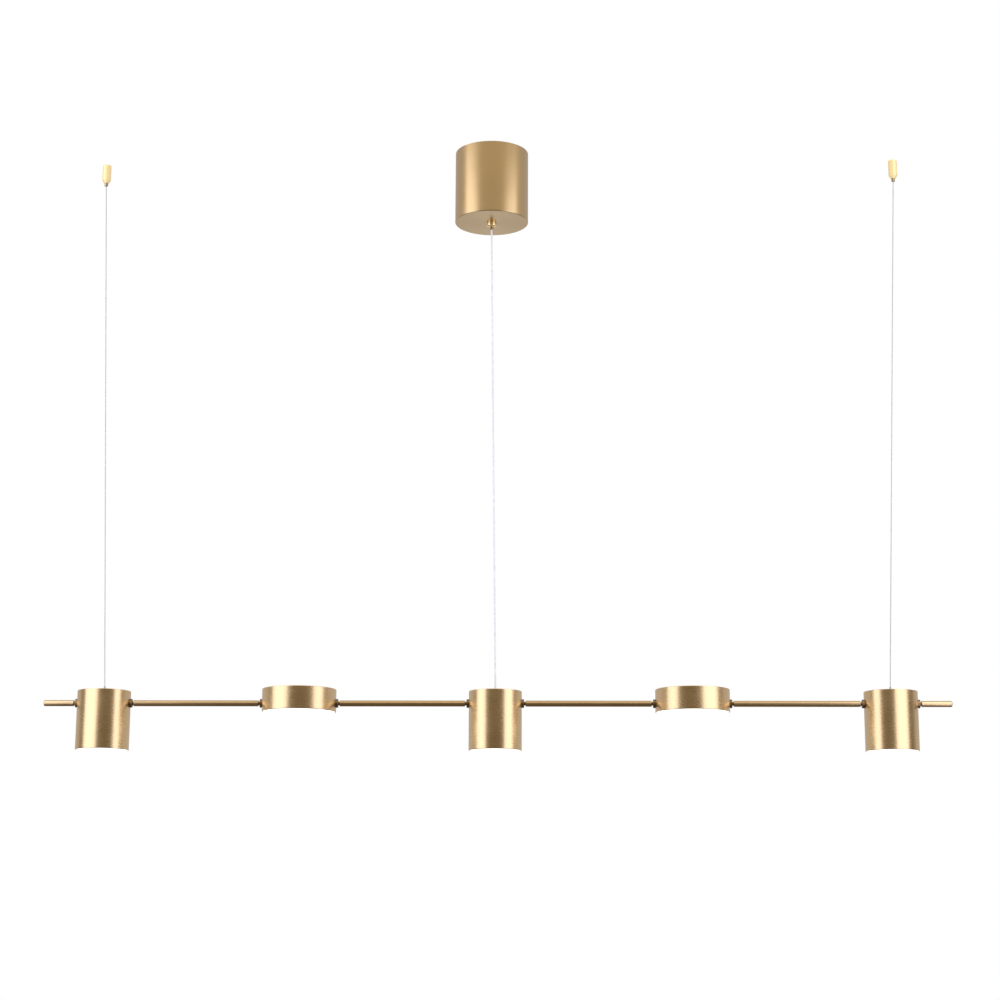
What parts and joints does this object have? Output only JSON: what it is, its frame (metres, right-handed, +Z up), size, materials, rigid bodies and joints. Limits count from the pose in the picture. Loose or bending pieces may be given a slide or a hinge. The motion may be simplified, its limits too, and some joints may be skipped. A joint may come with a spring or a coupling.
{
  "type": "linear island pendant",
  "caption": "Suspended brass bar light: lamp heads in line on a slim rod, hung by wires from the ceiling below a round canopy that holds its driver.",
  "frame": {"origin": "centre of the canopy's top rim, in the ceiling plane, midway between the two slots of the ceiling bracket", "axes": "+Z up towards the ceiling, +X along the bar to the right in the picture, +Y away from the viewer"},
  "size_m": [1.2, 0.132, 0.819],
  "materials": {
    "brushed_brass": "brushed and lacquered",
    "polished_brass": "polished",
    "dark_brass": "burnished",
    "steel_wire": "stranded, bright",
    "clear_cable": "clear sleeve",
    "opal_acrylic": "opal, lit from behind",
    "clear_acrylic": "clear",
    "aluminium": "as cast and turned",
    "board_white": "white solder mask",
    "reflector_white": "matt white",
    "zinc_steel": "zinc plated",
    "driver_plastic": "fine texture",
    "terminal_plastic": "natural nylon",
    "dark_rubber": "moulded",
    "lead_sleeve": "extruded"
  },
  "bodies": {
    "ceiling_set": {"canopy_shell": "brushed_brass", "ceiling_bracket": "zinc_steel", "canopy_side_screws": "zinc_steel", "led_driver": "driver_plastic", "mains_terminal_block": "terminal_plastic", "canopy_gripper_body": "polished_brass", "canopy_gripper_nut": "zinc_steel", "cable_inside_canopy": "clear_cable", "left_gripper_body": "polished_brass", "right_gripper_body": "polished_brass", "gripper_bases": "zinc_steel", "wire_ends_in_grippers": "steel_wire", "canopy_gripper_spring": "zinc_steel", "left_gripper_spring": "zinc_steel", "right_gripper_spring": "zinc_steel"},
    "canopy_plunger": {"canopy_gripper_plunger": "dark_brass"},
    "left_plunger": {"left_gripper_plunger": "dark_brass"},
    "right_plunger": {"right_gripper_plunger": "dark_brass"},
    "suspension": {"left_wire": "steel_wire", "right_wire": "steel_wire"},
    "cable_run": {"power_cable": "clear_cable"},
    "bar": {"left_end_rod": "brushed_brass", "left_outer_rod": "brushed_brass", "left_inner_rod": "brushed_brass", "right_inner_rod": "brushed_brass", "right_outer_rod": "brushed_brass", "right_end_rod": "brushed_brass", "rod_nipples": "dark_brass", "nipple_locknuts": "zinc_steel", "friction_washers": "zinc_steel", "bus_leads": "lead_sleeve", "cylinder_collars": "brushed_brass", "cylinder_reflectors": "reflector_white", "wire_anchors": "zinc_steel", "cable_grommet": "dark_rubber", "left_cylinder_shell": "brushed_brass", "left_cylinder_heat_sink": "aluminium", "left_cylinder_led_board": "board_white", "left_cylinder_diffuser": "opal_acrylic", "centre_cylinder_shell": "brushed_brass", "centre_cylinder_heat_sink": "aluminium", "centre_cylinder_led_board": "board_white", "centre_cylinder_diffuser": "opal_acrylic", "right_cylinder_shell": "brushed_brass", "right_cylinder_heat_sink": "aluminium", "right_cylinder_led_board": "board_white", "right_cylinder_diffuser": "opal_acrylic"},
    "left_disc": {"left_disc_shell": "brushed_brass", "left_disc_collars": "brushed_brass", "left_disc_back_plate": "aluminium", "left_disc_led_ring": "board_white", "left_disc_light_guide": "clear_acrylic", "left_disc_diffuser": "opal_acrylic"},
    "right_disc": {"right_disc_shell": "brushed_brass", "right_disc_collars": "brushed_brass", "right_disc_back_plate": "aluminium", "right_disc_led_ring": "board_white", "right_disc_light_guide": "clear_acrylic", "right_disc_diffuser": "opal_acrylic"}
  },
  "joints": [
    {"name": "swing", "type": "hinge", "parent": "ceiling_set", "child": "suspension", "pos_m": [0.007, 0.033, -0.03], "axis": [1, 0, 0], "range_deg": [-5, 5]},
    {"name": "cable_swing", "type": "hinge", "parent": "ceiling_set", "child": "cable_run", "pos_m": [0, 0, -0.1094], "axis": [1, 0, 0], "range_deg": [-5.75, 5.75]},
    {"name": "height_adjust", "type": "slide", "parent": "suspension", "child": "bar", "axis": [0, 0, 1], "range_m": [0, 0.25], "deforming": ["left_wire", "right_wire", "power_cable"]},
    {"name": "left_disc_swivel", "type": "hinge", "parent": "bar", "child": "left_disc", "pos_m": [-0.253, 0.033, -0.757], "axis": [1, 0, 0], "range_deg": [-90, 90]},
    {"name": "right_disc_swivel", "type": "hinge", "parent": "bar", "child": "right_disc", "pos_m": [0.267, 0.033, -0.757], "axis": [1, 0, 0], "range_deg": [-90, 90]},
    {"name": "canopy_cable_release", "type": "slide", "parent": "ceiling_set", "child": "canopy_plunger", "axis": [0, 0, 1], "range_m": [0, 0.003], "stiffness_N_per_m": 1500, "springref_m": -0.002, "deforming": ["canopy_gripper_spring"]},
    {"name": "left_wire_release", "type": "slide", "parent": "ceiling_set", "child": "left_plunger", "axis": [0, 0, 1], "range_m": [0, 0.003], "stiffness_N_per_m": 1500, "springref_m": -0.002, "deforming": ["left_gripper_spring"]},
    {"name": "right_wire_release", "type": "slide", "parent": "ceiling_set", "child": "right_plunger", "axis": [0, 0, 1], "range_m": [0, 0.003], "stiffness_N_per_m": 1500, "springref_m": -0.002, "deforming": ["right_gripper_spring"]}
  ],
  "couplings": [
    {"joint": "cable_swing", "follows": "swing", "ratio": 1.1261}
  ]
}
